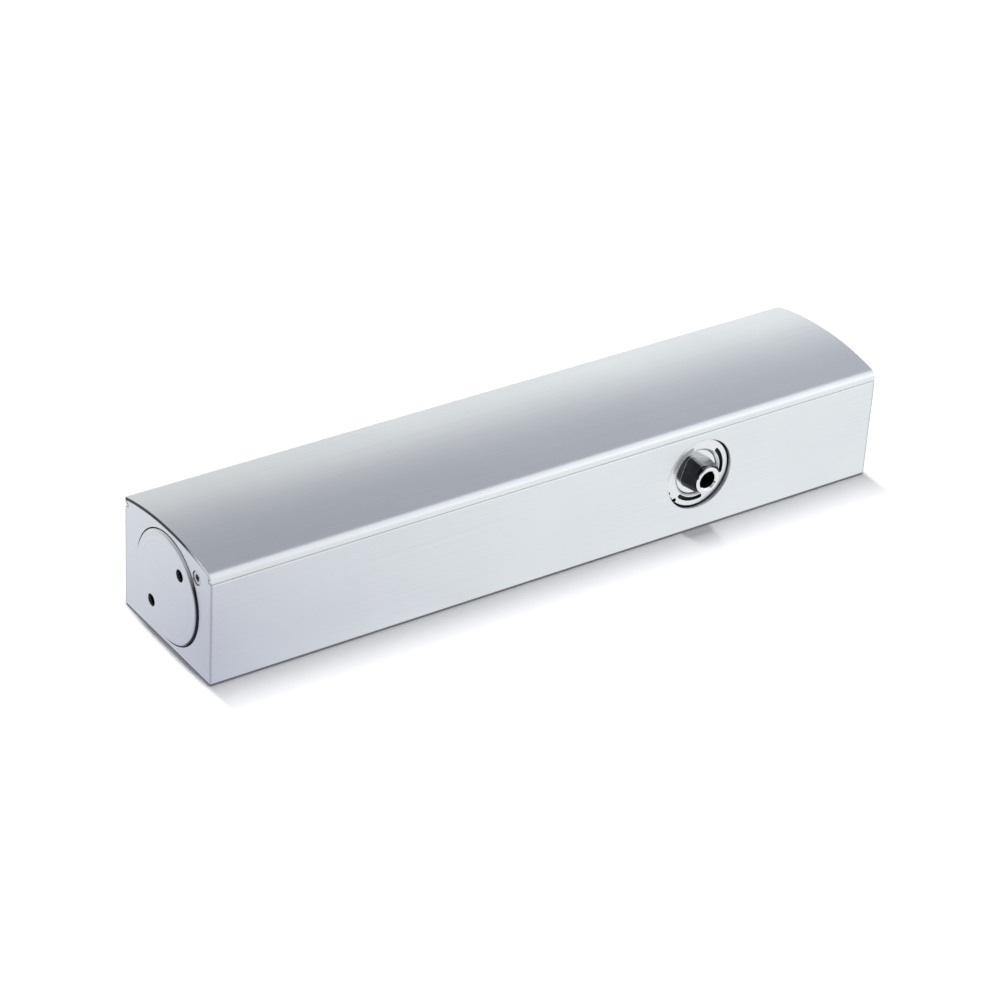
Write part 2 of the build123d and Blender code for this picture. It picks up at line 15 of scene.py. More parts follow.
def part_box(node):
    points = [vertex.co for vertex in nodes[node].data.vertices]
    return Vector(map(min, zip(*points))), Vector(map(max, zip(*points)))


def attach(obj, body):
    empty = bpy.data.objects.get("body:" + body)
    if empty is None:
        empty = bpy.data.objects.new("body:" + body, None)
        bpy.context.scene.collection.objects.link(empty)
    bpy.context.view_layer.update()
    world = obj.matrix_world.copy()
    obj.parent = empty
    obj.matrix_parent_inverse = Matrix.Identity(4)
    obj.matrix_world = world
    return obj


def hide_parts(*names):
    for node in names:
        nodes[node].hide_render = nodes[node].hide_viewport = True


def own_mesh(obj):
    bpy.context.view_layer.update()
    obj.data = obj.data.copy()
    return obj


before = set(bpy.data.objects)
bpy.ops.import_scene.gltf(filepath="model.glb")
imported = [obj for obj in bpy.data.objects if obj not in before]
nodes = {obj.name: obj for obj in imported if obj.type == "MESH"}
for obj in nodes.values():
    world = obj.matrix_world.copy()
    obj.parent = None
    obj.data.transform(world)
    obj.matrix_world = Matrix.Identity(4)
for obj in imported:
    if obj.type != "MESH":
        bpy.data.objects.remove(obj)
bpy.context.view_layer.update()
MM = 0.001


def node_centre(name):
    """Middle of a CAD node's box."""
    low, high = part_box(name)
    return (Vector(low) + Vector(high)) / 2


def new_object(name, data):
    """A new object in the scene."""
    made = bpy.data.objects.new(name, data)
    bpy.context.scene.collection.objects.link(made)
    return made


# A point on the spindle's axis, and one on the axis of the bore and its plugs
SPINDLE = node_centre("front_bush")
BORE = node_centre("left_end_plug")


# Shader nodes


def add(tree, kind, inputs=None, **settings):
    """Adds a node; an input is given by name or index, as a value or as another node's output."""
    made = tree.nodes.new(kind)
    for key, value in settings.items():
        setattr(made, key, value)
    for socket, value in (inputs or {}).items():
        if isinstance(value, bpy.types.NodeSocket):
            tree.links.new(value, made.inputs[socket])
        else:
            made.inputs[socket].default_value = value
    return made


def new_material(name):
    """A plain material, its node tree and its principled shader."""
    material = bpy.data.materials.new(name)
    material.use_nodes = True
    tree = material.node_tree
    return material, tree, tree.nodes["Principled BSDF"]


def coordinate(tree, which="Object"):
    """A texture coordinate, in metres on the object unless another is asked for."""
    return add(tree, "ShaderNodeTexCoord").outputs[which]


def parts_of(tree, vector):
    """A vector's outputs X, Y and Z."""
    return add(tree, "ShaderNodeSeparateXYZ", {0: vector}).outputs


def math_node(tree, operation, first, second=0.0):
    """One arithmetic step between two values."""
    return add(tree, "ShaderNodeMath", {0: first, 1: second}, operation=operation).outputs[0]


def vector_math(tree, operation, first, second):
    """One step between two vectors that gives a vector."""
    return add(tree, "ShaderNodeVectorMath", {0: first, 1: second}, operation=operation).outputs[0]


def vector_measure(tree, operation, first, second=(0.0, 0.0, 0.0)):
    """One step between two vectors that gives a number."""
    made = add(tree, "ShaderNodeVectorMath", {0: first, 1: second}, operation=operation)
    return made.outputs["Value"]


def to_range(tree, value, low, high, new_low=0.0, new_high=1.0, **settings):
    """A value moved from one range to another and clamped to it."""
    made = add(
        tree,
        "ShaderNodeMapRange",
        {"Value": value, "From Min": low, "From Max": high, "To Min": new_low, "To Max": new_high},
        **settings,
    )
    return made.outputs["Result"]


def opaque(colour):
    """A colour with full alpha, or another node's output as it is."""
    return colour if isinstance(colour, bpy.types.NodeSocket) else (*colour, 1.0)


def mix_colour(tree, factor, first, second):
    """Colour between two colours. The node's colour sockets are 6 and 7, and 2 is its result."""
    made = add(tree, "ShaderNodeMix", {0: factor, 6: opaque(first), 7: opaque(second)}, data_type="RGBA")
    return made.outputs[2]


def mix_value(tree, factor, first, second):
    """Value between two values. The node's value sockets are 2 and 3."""
    return add(tree, "ShaderNodeMix", {0: factor, 2: first, 3: second}).outputs[0]


def noise(tree, position, detail):
    """Smooth noise from 0 to 1 at a position."""
    made = add(tree, "ShaderNodeTexNoise", {"Vector": position, "Scale": 1.0, "Detail": detail})
    return made.outputs["Fac"]


def stretched_noise(tree, per_metre, detail):
    """Noise on the object, of so many units per metre along X, Y and Z."""
    return noise(tree, vector_math(tree, "MULTIPLY", coordinate(tree), per_metre), detail)


def even_noise(tree, per_metre, detail=3.0):
    """Noise on the object with no direction, of so many units per metre."""
    return stretched_noise(tree, (per_metre, per_metre, per_metre), detail)


# Masks that any piece can have

EDGE_RADIUS = 0.25 * MM
EDGE_SAMPLES = 6
# How far the softened and the true normal agree on open faces, and where an edge is fully worn
OPEN_AGREEMENT = 0.99
WORN_AGREEMENT = 0.80

# Painted shade in gaps and holes, from how much open sky a point sees within this reach
GAP_SHADE_REACH = 2.0 * MM
GAP_SHADE_SAMPLES = 8
# How much of the open sky a place sees where the painted shade is full, and where there is none
FULL_SHADE_SKY = 0.18
NO_SHADE_SKY = 0.50


def edge_mask(tree, radius):
    """1 along outer and inner edges of a piece, 0 on its open faces, and the softened normal."""
    softened = add(tree, "ShaderNodeBevel", {"Radius": radius}, samples=EDGE_SAMPLES).outputs["Normal"]
    plain = add(tree, "ShaderNodeNewGeometry").outputs["Normal"]
    agreement = vector_measure(tree, "DOT_PRODUCT", softened, plain)
    return to_range(tree, agreement, OPEN_AGREEMENT, WORN_AGREEMENT), softened


def gap_painted_shade(tree):
    """1 deep in gaps and holes, where painted shade darkens them, and 0 on open faces."""
    sky = add(tree, "ShaderNodeAmbientOcclusion", {"Distance": GAP_SHADE_REACH}, samples=GAP_SHADE_SAMPLES)
    return to_range(tree, sky.outputs["AO"], FULL_SHADE_SKY, NO_SHADE_SKY, 1.0, 0.0)


def by_depth(tree, axis, face, clear, full):
    """0 at the depth clear behind a face or its twin on the far side, and 1 at the depth full."""
    across = math_node(tree, "ABSOLUTE", parts_of(tree, coordinate(tree))[axis])
    return to_range(tree, across, face - clear, face - full)


def beyond(tree, centre, direction, near, far):
    """0 up to a distance near from a point, measured along a direction, and 1 from far on."""
    offset = vector_math(tree, "SUBTRACT", coordinate(tree), centre)
    return to_range(tree, vector_measure(tree, "DOT_PRODUCT", offset, direction), near, far)


# Patterns of a surface, as noise with so many units per metre

DIE_LINES_PER_METRE = (9.0, 2600.0, 2600.0)
RINGS_PER_METRE = 2600.0
SPECKS_PER_METRE = 900.0


def extrusion_lines(tree):
    """Faint die lines along the closer's length."""
    return stretched_noise(tree, DIE_LINES_PER_METRE, detail=4.0)


def scattered(tree):
    """Marks with no direction."""
    return even_noise(tree, SPECKS_PER_METRE, detail=4.0)


def rings_about(centre, axis):
    """Rings round an axis through a point, as a lathe leaves them."""
    across = [0.0 if letter == axis else 1.0 for letter in "XYZ"]

    def pattern(tree):
        offset = vector_math(tree, "SUBTRACT", coordinate(tree), centre)
        reach = vector_measure(tree, "LENGTH", vector_math(tree, "MULTIPLY", offset, across))
        along = parts_of(tree, offset)[axis]
        rings = add(
            tree,
            "ShaderNodeCombineXYZ",
            {
                "X": math_node(tree, "MULTIPLY", reach, RINGS_PER_METRE),
                "Y": math_node(tree, "MULTIPLY", along, RINGS_PER_METRE),
            },
        ).outputs[0]
        return noise(tree, rings, detail=3.0)

    return pattern


# Metal in general: its faces vary by pattern, fine grain and broad patches

PATCHES_PER_METRE = 22.0
PATTERN_SHARE = 0.55
PATCH_SHARE = 0.45
COLOUR_SPREAD = (0.3, 0.7)
GLOSS_SPREAD = (0.6, 1.4)
GRAIN_HEIGHT = 0.5
METAL_BUMP = 0.35

# Its worn edges are lighter and smoother, and its gaps and holes are darkened with painted shade
WORN_SHARE = 0.6
WORN_LIGHTENING = 1.12
WORN_SMOOTHING = 0.08
GAP_SHADE_COLOUR = (0.025, 0.026, 0.030)

# A part of a surface that looks different: mask takes the node tree and gives 0 to 1
Mark = namedtuple("Mark", "mask colour roughness")


def metal(
    name,
    light,
    dark,
    roughness,
    grain,
    grain_depth,
    pattern,
    marked=(),
    gap_shade=gap_painted_shade,
    edge=EDGE_RADIUS,
):
    """A metal whose colour, gloss and height vary with fine grain, a pattern and worn edges.

    light and dark are the two colours that the surface varies between; roughness is its
    lowest and highest; grain is the fine grain per metre; pattern takes the node tree and
    gives streaks or rings from 0 to 1; marked holds Marks, each laid over the last; the mask
    that follows gives the painted shade in gaps and holes; edge is the radius of the softened
    edges.
    """
    material, tree, shader = new_material(name)
    worn, softened = edge_mask(tree, edge)
    fine = even_noise(tree, grain)
    patches = even_noise(tree, PATCHES_PER_METRE)
    marks = pattern(tree)

    marks_part = math_node(tree, "MULTIPLY", marks, PATTERN_SHARE)
    patches_part = math_node(tree, "MULTIPLY", patches, PATCH_SHARE)
    blend = to_range(tree, math_node(tree, "ADD", marks_part, patches_part), *COLOUR_SPREAD)
    rubbed = [min(1.0, share * WORN_LIGHTENING) for share in light]
    colour = mix_colour(tree, blend, light, dark)
    colour = mix_colour(tree, math_node(tree, "MULTIPLY", worn, WORN_SHARE), colour, rubbed)
    gloss = to_range(tree, math_node(tree, "ADD", fine, marks), *GLOSS_SPREAD, *roughness)
    gloss = math_node(tree, "SUBTRACT", gloss, math_node(tree, "MULTIPLY", worn, WORN_SMOOTHING))
    for mark in marked:
        shown = mark.mask(tree)
        colour = mix_colour(tree, shown, colour, mark.colour)
        gloss = mix_value(tree, shown, gloss, mark.roughness)
    # Painted shade: gaps and holes darkened towards near black
    colour = mix_colour(tree, gap_shade(tree), colour, GAP_SHADE_COLOUR)

    height = math_node(tree, "ADD", math_node(tree, "MULTIPLY", fine, GRAIN_HEIGHT), marks)
    relief = {"Strength": METAL_BUMP, "Distance": grain_depth, "Height": height, "Normal": softened}
    bump = add(tree, "ShaderNodeBump", relief)
    tree.links.new(colour, shader.inputs["Base Color"])
    tree.links.new(gloss, shader.inputs["Roughness"])
    tree.links.new(bump.outputs["Normal"], shader.inputs["Normal"])
    shader.inputs["Metallic"].default_value = 1.0
    return material


# Satin aluminium: housing, cover and end plugs

SATIN_LIGHT = (0.885, 0.90, 0.915)
SATIN_DARK = (0.81, 0.825, 0.845)

# Depths behind the housing's ends and sides where the painted shade along its corners begins and is full
CORNER_DEPTHS = (0.75 * MM, 0.40 * MM)
# Heights where the painted shade along the housing's foot begins and is full from below, and from above
FOOT_FROM_BELOW = (0.02 * MM, 0.10 * MM)
FOOT_FROM_ABOVE = (1.05 * MM, 0.60 * MM)

# The cover's sawn ends, by how much they look along X, and where across and up they get painted shade
SAWN_FACING = (0.90, 0.97)
END_SHADE_Y = (-22.0 * MM, -12.0 * MM)
END_SHADE_BELOW_TOP = (5.4 * MM, 4.8 * MM)

# Depths in an end plug where its holes and the gap round it turn dark with painted shade, and its edge
# chamfer does
HOLE_DEPTHS = (0.7 * MM, 1.2 * MM)
CHAMFER_DEPTHS = (0.10 * MM, 0.45 * MM)
# The chamfer's painted shade reaches only this far out from the plug's axis, towards the front
CHAMFER_SIDE = Vector((0.0, -0.985, -0.17))
CHAMFER_REACH = (13.0 * MM, 17.0 * MM)


def corner_painted_shade(tree):
    """The corners between the body's ends and its long sides, darkened with painted shade."""
    end, side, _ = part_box("housing")[1]
    along = by_depth(tree, "X", end, *CORNER_DEPTHS)
    across = by_depth(tree, "Y", side, *CORNER_DEPTHS)
    return math_node(tree, "MULTIPLY", along, across)


def foot_painted_shade(tree):
    """Painted shade along the foot of the body's four sides, where it meets what it is screwed to."""
    height = parts_of(tree, coordinate(tree))["Z"]
    raised = to_range(tree, height, *FOOT_FROM_BELOW)
    low = to_range(tree, height, *FOOT_FROM_ABOVE)
    return math_node(tree, "MULTIPLY", raised, low)


def satin_body():
    """The housing, with painted shade along its corners and its foot."""
    return metal(
        "satin_body",
        light=SATIN_LIGHT,
        dark=SATIN_DARK,
        roughness=(0.34, 0.44),
        grain=2600.0,
        grain_depth=0.006 * MM,
        pattern=extrusion_lines,
        marked=(
            # Painted shade: greyer along the corners
            Mark(corner_painted_shade, colour=(0.66, 0.66, 0.70), roughness=0.42),
            # Painted shade: dark along the foot, where it meets the floor
            Mark(foot_painted_shade, colour=(0.20, 0.20, 0.21), roughness=0.50),
        ),
        edge=0.40 * MM,
    )


def sawn_end_painted_shade(tree):
    """The cover's sawn ends darkened with painted shade, but for the lips and the part beside the front."""
    facing = parts_of(tree, coordinate(tree, "Normal"))
    position = parts_of(tree, coordinate(tree))
    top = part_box("cover")[1][2]
    sawn = to_range(tree, math_node(tree, "ABSOLUTE", facing["X"]), *SAWN_FACING)
    oxidised = to_range(tree, position["Y"], *END_SHADE_Y)
    arched = to_range(tree, position["Z"], *[top - depth for depth in END_SHADE_BELOW_TOP])
    return math_node(tree, "MULTIPLY", math_node(tree, "MULTIPLY", sawn, oxidised), arched)


def satin_cover():
    """The cover, smoother than the housing, with painted shade on its sawn ends."""
    return metal(
        "satin_cover",
        light=SATIN_LIGHT,
        dark=SATIN_DARK,
        roughness=(0.30, 0.38),
        grain=2600.0,
        grain_depth=0.004 * MM,
        pattern=extrusion_lines,
        # Painted shade: near black on the sawn ends
        marked=(Mark(sawn_end_painted_shade, colour=(0.07, 0.07, 0.08), roughness=0.5),),
    )


def plug_painted_shade(tree):
    """Painted shade in the plugs' pin holes, the gap round the head, and its edge chamfer towards the
    front.
    """
    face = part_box("right_end_plug")[1][0]
    front = beyond(tree, BORE, CHAMFER_SIDE, *CHAMFER_REACH)
    chamfer = math_node(tree, "MULTIPLY", by_depth(tree, "X", face, *CHAMFER_DEPTHS), front)
    return math_node(tree, "MAXIMUM", by_depth(tree, "X", face, *HOLE_DEPTHS), chamfer)


def turned_plug():
    """The two end plugs, turned, with painted shade in their holes and gaps."""
    return metal(
        "turned_plug",
        light=SATIN_LIGHT,
        dark=SATIN_DARK,
        roughness=(0.32, 0.42),
        grain=2600.0,
        grain_depth=0.006 * MM,
        pattern=rings_about(BORE, "X"),
        # Painted shade: near black in the holes, the gap round the head and the front of the chamfer
        marked=(Mark(plug_painted_shade, colour=(0.04, 0.04, 0.045), roughness=0.5),),
    )


# Steel at the spindle: bearing caps, spindle and thrust washers

STEEL_BRIGHT = (0.86, 0.87, 0.88)
STEEL_PAINTED_HIGHLIGHT = (0.46, 0.46, 0.47)
STEEL_LIGHT = (0.58, 0.59, 0.61)
STEEL_DARK = (0.46, 0.47, 0.49)

# A cap's recesses get painted shade from these depths on, and from this far on towards their shaded side
RECESS_DEPTHS = (0.5 * MM, 1.1 * MM)
SHADED_RECESS_SIDE = Vector((0.73, 0.0, -0.68))
SHADED_RECESS_REACH = (-5.0 * MM, -1.0 * MM)

# The spindle's faces are turned bright where they look along Y by this much, up to BRIGHT_END
# behind its end and from BRIGHT_SHOULDERS on
TURNED_FACING = (0.55, 0.68)
BRIGHT_END = (0.7 * MM, 0.9 * MM)
BRIGHT_SHOULDERS = (5.0 * MM, 6.0 * MM)
# The flat with a painted highlight, by how much it looks up
HIGHLIGHT_FLAT_FACING = (0.90, 0.93)


def cap_recess_painted_shade(tree):
    """Painted shade in the recesses and gaps of a bearing cap, but not in those well over towards -X and
    up.
    """
    oily = beyond(tree, SPINDLE, SHADED_RECESS_SIDE, *SHADED_RECESS_REACH)
    recessed = by_depth(tree, "Y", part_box("rear_bearing_cap")[1][1], *RECESS_DEPTHS)
    return math_node(tree, "MULTIPLY", math_node(tree, "MAXIMUM", recessed, gap_painted_shade(tree)), oily)


def zinc_plated():
    """The two bearing caps."""
    return metal(
        "zinc_plated",
        light=(0.93, 0.93, 0.935),
        dark=(0.84, 0.85, 0.86),
        roughness=(0.22, 0.36),
        grain=3000.0,
        grain_depth=0.008 * MM,
        pattern=rings_about(SPINDLE, "Y"),
        # Painted shade in the caps' recesses and gaps
        gap_shade=cap_recess_painted_shade,
    )


def top_flat_painted_highlight(tree):
    """The upward flat of the spindle, painted light as a highlight from above."""
    return to_range(tree, parts_of(tree, coordinate(tree, "Normal"))["Z"], *HIGHLIGHT_FLAT_FACING)


def lathe_faces(tree):
    """Faces turned bright on the spindle: its shoulders, and its end with the countersink."""
    facing = parts_of(tree, coordinate(tree, "Normal"))
    reach = parts_of(tree, coordinate(tree))["Y"]
    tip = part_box("pinion_shaft")[0][1]
    turned_face = to_range(tree, math_node(tree, "ABSOLUTE", facing["Y"]), *TURNED_FACING)
    at_end = to_range(tree, reach, *[tip + depth for depth in BRIGHT_END], 1.0, 0.0)
    at_shoulder = to_range(tree, reach, *[tip + depth for depth in BRIGHT_SHOULDERS])
    return math_node(tree, "MULTIPLY", turned_face, math_node(tree, "MAXIMUM", at_end, at_shoulder))


def blackened_spindle():
    """The spindle, black but for a painted highlight on its upward flat, and its turned faces."""
    return metal(
        "blackened_spindle",
        light=(0.075, 0.075, 0.090),
        dark=(0.045, 0.045, 0.055),
        roughness=(0.30, 0.42),
        grain=3000.0,
        grain_depth=0.008 * MM,
        pattern=rings_about(SPINDLE, "Y"),
        marked=(
            # Painted highlight: the upward flat lighter
            Mark(top_flat_painted_highlight, colour=STEEL_PAINTED_HIGHLIGHT, roughness=0.30),
            Mark(lathe_faces, colour=STEEL_BRIGHT, roughness=0.12),
        ),
    )


def ground_washer():
    """The two thrust washers."""
    return metal(
        "ground_washer",
        light=STEEL_LIGHT,
        dark=STEEL_DARK,
        roughness=(0.24, 0.36),
        grain=3000.0,
        grain_depth=0.006 * MM,
        pattern=rings_about(SPINDLE, "Y"),
    )


# Pieces in the bore, bushes, valve screws and seals

RUBBER_LIGHT = (0.035, 0.034, 0.034)
RUBBER_DARK = (0.012, 0.012, 0.013)
RUBBER_ROUGHNESS = (0.45, 0.65)
RUBBER_SKIN_PER_METRE = 1800.0
RUBBER_SKIN_SPREAD = (0.3, 0.7)
RUBBER_BUMP = 0.3
RUBBER_SKIN_DEPTH = 0.02 * MM


def turned_seat():
    """The spring's seat and the check valve."""
    return metal(
        "turned_seat",
        light=STEEL_LIGHT,
        dark=STEEL_DARK,
        roughness=(0.26, 0.38),
        grain=3000.0,
        grain_depth=0.006 * MM,
        pattern=rings_about(BORE, "X"),
    )


def spring_wire():
    """The closing spring's oil-hardened wire."""
    return metal(
        "spring_wire",
        light=(0.30, 0.31, 0.33),
        dark=(0.20, 0.20, 0.22),
        roughness=(0.28, 0.42),
        grain=1800.0,
        grain_depth=0.01 * MM,
        pattern=scattered,
    )


def iron_piston():
    """The piston, of fine turned iron."""
    return metal(
        "iron_piston",
        light=(0.42, 0.42, 0.43),
        dark=(0.30, 0.30, 0.31),
        roughness=(0.32, 0.46),
        grain=1800.0,
        grain_depth=0.01 * MM,
        pattern=rings_about(BORE, "X"),
    )


def bronze_bush():
    """The spindle's two bushes, of sintered bronze."""
    return metal(
        "bronze_bush",
        light=(0.72, 0.50, 0.27),
        dark=(0.56, 0.37, 0.18),
        roughness=(0.34, 0.48),
        grain=1600.0,
        grain_depth=0.01 * MM,
        pattern=rings_about(SPINDLE, "Y"),
    )


def nickel(valve):
    """A valve screw, turned about its own axis."""
    return metal(
        f"{valve}_nickel",
        light=(0.78, 0.78, 0.78),
        dark=(0.66, 0.66, 0.67),
        roughness=(0.24, 0.36),
        grain=3000.0,
        grain_depth=0.006 * MM,
        pattern=rings_about(node_centre(valve), "X"),
    )


def nitrile_rubber():
    """Black moulded rubber with a fine matt skin."""
    material, tree, shader = new_material("nitrile_rubber")
    skin = even_noise(tree, RUBBER_SKIN_PER_METRE)
    relief = {"Strength": RUBBER_BUMP, "Distance": RUBBER_SKIN_DEPTH, "Height": skin}
    roughness = to_range(tree, skin, *RUBBER_SKIN_SPREAD, *RUBBER_ROUGHNESS)
    tree.links.new(mix_colour(tree, skin, RUBBER_DARK, RUBBER_LIGHT), shader.inputs["Base Color"])
    tree.links.new(roughness, shader.inputs["Roughness"])
    tree.links.new(add(tree, "ShaderNodeBump", relief).outputs["Normal"], shader.inputs["Normal"])
    return material


# Closing spring: round wire, with one closed turn at each end whose face is ground flat

SPRING_MEAN_RADIUS = 14.8 * MM
SPRING_ACTIVE_TURNS = 10
SPRING_TURNS = SPRING_ACTIVE_TURNS + 2
# Turns over which the pitch grows from closed to full
SPRING_OPENING_TURNS = 0.5
# Pitch of the closed turns, and where the wire's middle starts, both in wire thicknesses
SPRING_CLOSED_PITCH = 1.02
SPRING_END_SHARE = 0.25
STEPS_PER_TURN = 48
SIDES_OF_WIRE = 16
SPRING_SHARP_ANGLE = radians(40.0)


def opening(step):
    """How far the pitch has opened at a step along the wire: 0 in the closed turns, 1 between."""
    turn = (step + 0.5) / STEPS_PER_TURN
    past_closed = min(turn, SPRING_TURNS - turn) - 1.0
    share = max(0.0, min(1.0, past_closed / SPRING_OPENING_TURNS))
    return share * share * (3.0 - 2.0 * share)


def spring_line(length, thickness):
    """Distance along the spring at each step of its wire: closed turn, active turns, closed turn."""
    openings = [opening(step) for step in range(SPRING_TURNS * STEPS_PER_TURN)]
    closed = SPRING_CLOSED_PITCH * thickness
    first = SPRING_END_SHARE * thickness
    spare = length - 2.0 * first - closed * SPRING_TURNS
    whole = sum(openings)
    along = [first]
    for share in openings:
        along.append(along[-1] + closed / STEPS_PER_TURN + spare * share / whole)
    return along


def spring_points(along, low, high, wire_radius):
    """A ring of points round the wire at each step, none of them past the spring's two ends."""
    points = []
    last = len(along) - 1
    for step, reach in enumerate(along):
        turned = 2.0 * pi * step / STEPS_PER_TURN
        outward = Vector((0.0, sin(turned), cos(turned)))
        pitch = (along[min(step + 1, last)] - along[max(step - 1, 0)]) * STEPS_PER_TURN / 2
        onward = Vector(
            (pitch / (2.0 * pi), cos(turned) * SPRING_MEAN_RADIUS, -sin(turned) * SPRING_MEAN_RADIUS)
        )
        sideways = onward.normalized().cross(outward)
        centre = Vector((low + reach, 0.0, BORE.z)) + outward * SPRING_MEAN_RADIUS
        for side in range(SIDES_OF_WIRE):
            angle = 2.0 * pi * side / SIDES_OF_WIRE
            point = centre + (outward * cos(angle) + sideways * sin(angle)) * wire_radius
            point.x = max(low, min(high, point.x))
            points.append(point)
    return points


def tube_faces(rings):
    """Faces of a tube of so many rings of points, closed at both ends."""
    faces = []
    for ring in range(rings - 1):
        for side in range(SIDES_OF_WIRE):
            here = ring * SIDES_OF_WIRE + side
            beside = ring * SIDES_OF_WIRE + (side + 1) % SIDES_OF_WIRE
            faces.append((here, beside, beside + SIDES_OF_WIRE, here + SIDES_OF_WIRE))
    faces.append(tuple(reversed(range(SIDES_OF_WIRE))))
    faces.append(tuple(range((rings - 1) * SIDES_OF_WIRE, rings * SIDES_OF_WIRE)))
    return faces


def turn_faces_outward(mesh):
    """Turns a closed mesh's faces so that they all look outward."""
    shape = bmesh.new()
    shape.from_mesh(mesh)
    bmesh.ops.recalc_face_normals(shape, faces=shape.faces)
    shape.to_mesh(mesh)
    shape.free()


def make_spring(material):
    """The closing spring as a tube along its wire, in place of the CAD node."""
    low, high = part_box("closing_spring")
    length = high[0] - low[0]
    wire_radius = (high[1] - low[1]) / 2 - SPRING_MEAN_RADIUS
    along = spring_line(length, 2.0 * wire_radius)
    mesh = bpy.data.meshes.new("spring_coil")
    mesh.from_pydata(spring_points(along, low[0], high[0], wire_radius), [], tube_faces(len(along)))
    turn_faces_outward(mesh)
    mesh.shade_smooth()
    mesh.set_sharp_from_angle(angle=SPRING_SHARP_ANGLE)
    mesh.materials.append(material)
    coil = new_object("spring_coil", mesh)
    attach(coil, "closer_body")
    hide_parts("closing_spring")
    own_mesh(coil)


# Dressing of the closer


def dress(material, *names):
    """Gives CAD nodes one material."""
    for name in names:
        mesh = nodes[name].data
        mesh.materials.clear()
        mesh.materials.append(material)


def dress_closer():
    """Gives every CAD node its material and adds the coiled spring."""
    dress(satin_body(), "housing")
    dress(satin_cover(), "cover")
    dress(turned_plug(), "left_end_plug", "right_end_plug")
    dress(zinc_plated(), "front_bearing_cap", "rear_bearing_cap")
    dress(blackened_spindle(), "pinion_shaft")
    dress(ground_washer(), "front_thrust_washer", "rear_thrust_washer")
    dress(turned_seat(), "spring_seat", "check_valve_poppet", "check_valve_retainer")
    wire_steel = spring_wire()
    dress(wire_steel, "closing_spring")
    make_spring(wire_steel)
    dress(iron_piston(), "piston")
    dress(bronze_bush(), "front_bush", "rear_bush")
    for valve in ("backcheck_valve", "closing_valve", "latching_valve"):
        dress(nickel(valve), valve)
    seals = [name for name in nodes if name.endswith("_seal")]
    dress(nitrile_rubber(), *seals)


# Studio: floor, dark card, world, lamps and camera

FLOOR_SIZE = 9.0
FLOOR_DROP = 0.05 * MM
FLOOR_COLOUR = (0.96, 0.96, 0.96)
STUDIO_ROUGHNESS = 0.9

# What metal mirrors in the floor, which glows in reflections only: nearly white, and a painted dim
# reflection round a spot off the near corner
FLOOR_MIRRORED = (0.93, 0.96, 0.97)
SPOT_MIRRORED = (0.25, 0.24, 0.42)
SPOT_CENTRE = (-0.195, -0.050, 0.0)
SPOT_REACH = 75.0 * MM

# Dark card that stands off the near corner, seen only in reflections
CARD_COLOUR = (0.02, 0.02, 0.025)
CARD_TOWARD = Vector((-0.84, -0.55, 0.0)).normalized()
CARD_DISTANCE = 0.5
CARD_HALF_WIDTH = 0.22
CARD_HEIGHT = 0.30

# World: bright near the horizon, dimmer overhead, and at full strength only to the right
WORLD_LOW = (1.06, 1.09, 1.09)
WORLD_HIGH = (0.475, 0.495, 0.55)
WORLD_WHITE = (1.0, 1.0, 1.0)
WORLD_LOW_ELEVATION = radians(16.0)
WORLD_HIGH_ELEVATION = radians(39.0)
WORLD_RIGHT_X = (0.42, 0.54)
WORLD_REST_SHARE = 0.69
# Share of it that matt surfaces get
WORLD_FILL = 0.70

# Camera: turned to the left of the front, looking down, with a slight roll
CAMERA_AZIMUTH = radians(-36.03)
CAMERA_ELEVATION = radians(31.50)
CAMERA_ROLL = radians(3.59)
CAMERA_DISTANCE = 1.2834
CAMERA_AIM = Vector((-0.00544, -0.00014, 0.01755))
CAMERA_LENS_MM = 124.95
CAMERA_SENSOR_MM = 36.0
CAMERA_NEAREST = 0.01
CAMERA_FARTHEST = 50.0


def sheet(name, corners, material):
    """A flat four-sided piece of the studio."""
    mesh = bpy.data.meshes.new(name)
    mesh.from_pydata(corners, [], [(0, 1, 2, 3)])
    mesh.materials.append(material)
    piece = new_object(name, mesh)
    return piece


def matt_material(name, colour):
    """A material with one matt colour, its node tree and its shader."""
    material, tree, shader = new_material(name)
    shader.inputs["Base Color"].default_value = opaque(colour)
    shader.inputs["Roughness"].default_value = STUDIO_ROUGHNESS
    return material, tree, shader


def make_floor():
    """A wide pale floor just under the closer; in reflections it glows, with a painted dim spot off the
    near corner.
    """
    material, tree, shader = matt_material("pale_floor", FLOOR_COLOUR)
    shader.inputs["Specular IOR Level"].default_value = 0.0
    away = vector_measure(tree, "DISTANCE", coordinate(tree), SPOT_CENTRE)
    fading = math_node(tree, "EXPONENT", math_node(tree, "MULTIPLY", away, -1.0 / SPOT_REACH))
    colour = mix_colour(tree, fading, FLOOR_MIRRORED, SPOT_MIRRORED)
    mirrored = add(tree, "ShaderNodeEmission", {"Color": colour, "Strength": 1.0})
    ray = add(tree, "ShaderNodeLightPath").outputs
    reflected = math_node(tree, "MAXIMUM", ray["Is Glossy Ray"], ray["Is Transmission Ray"])
    mixed = add(tree, "ShaderNodeMixShader", {0: reflected, 1: shader.outputs[0], 2: mirrored.outputs[0]})
    tree.links.new(mixed.outputs[0], tree.nodes["Material Output"].inputs["Surface"])
    half = FLOOR_SIZE / 2
    corners = [(x, y, -FLOOR_DROP) for x, y in ((-half, -half), (half, -half), (half, half), (-half, half))]
    sheet("studio_floor", corners, material)


def make_dark_card():
    """A black card, out of the camera's sight, that darkens the left flats of the spindle."""
    material, _, _ = matt_material("black_card", CARD_COLOUR)
    foot = CARD_TOWARD * CARD_DISTANCE
    along = Vector((0.0, 0.0, 1.0)).cross(CARD_TOWARD) * CARD_HALF_WIDTH
    rise = Vector((0.0, 0.0, CARD_HEIGHT))
    corners = [foot - along, foot + along, foot + along + rise, foot - along + rise]
    card = sheet("dark_card", corners, material)
    card.visible_camera = False
    card.visible_diffuse = False
    card.visible_shadow = False


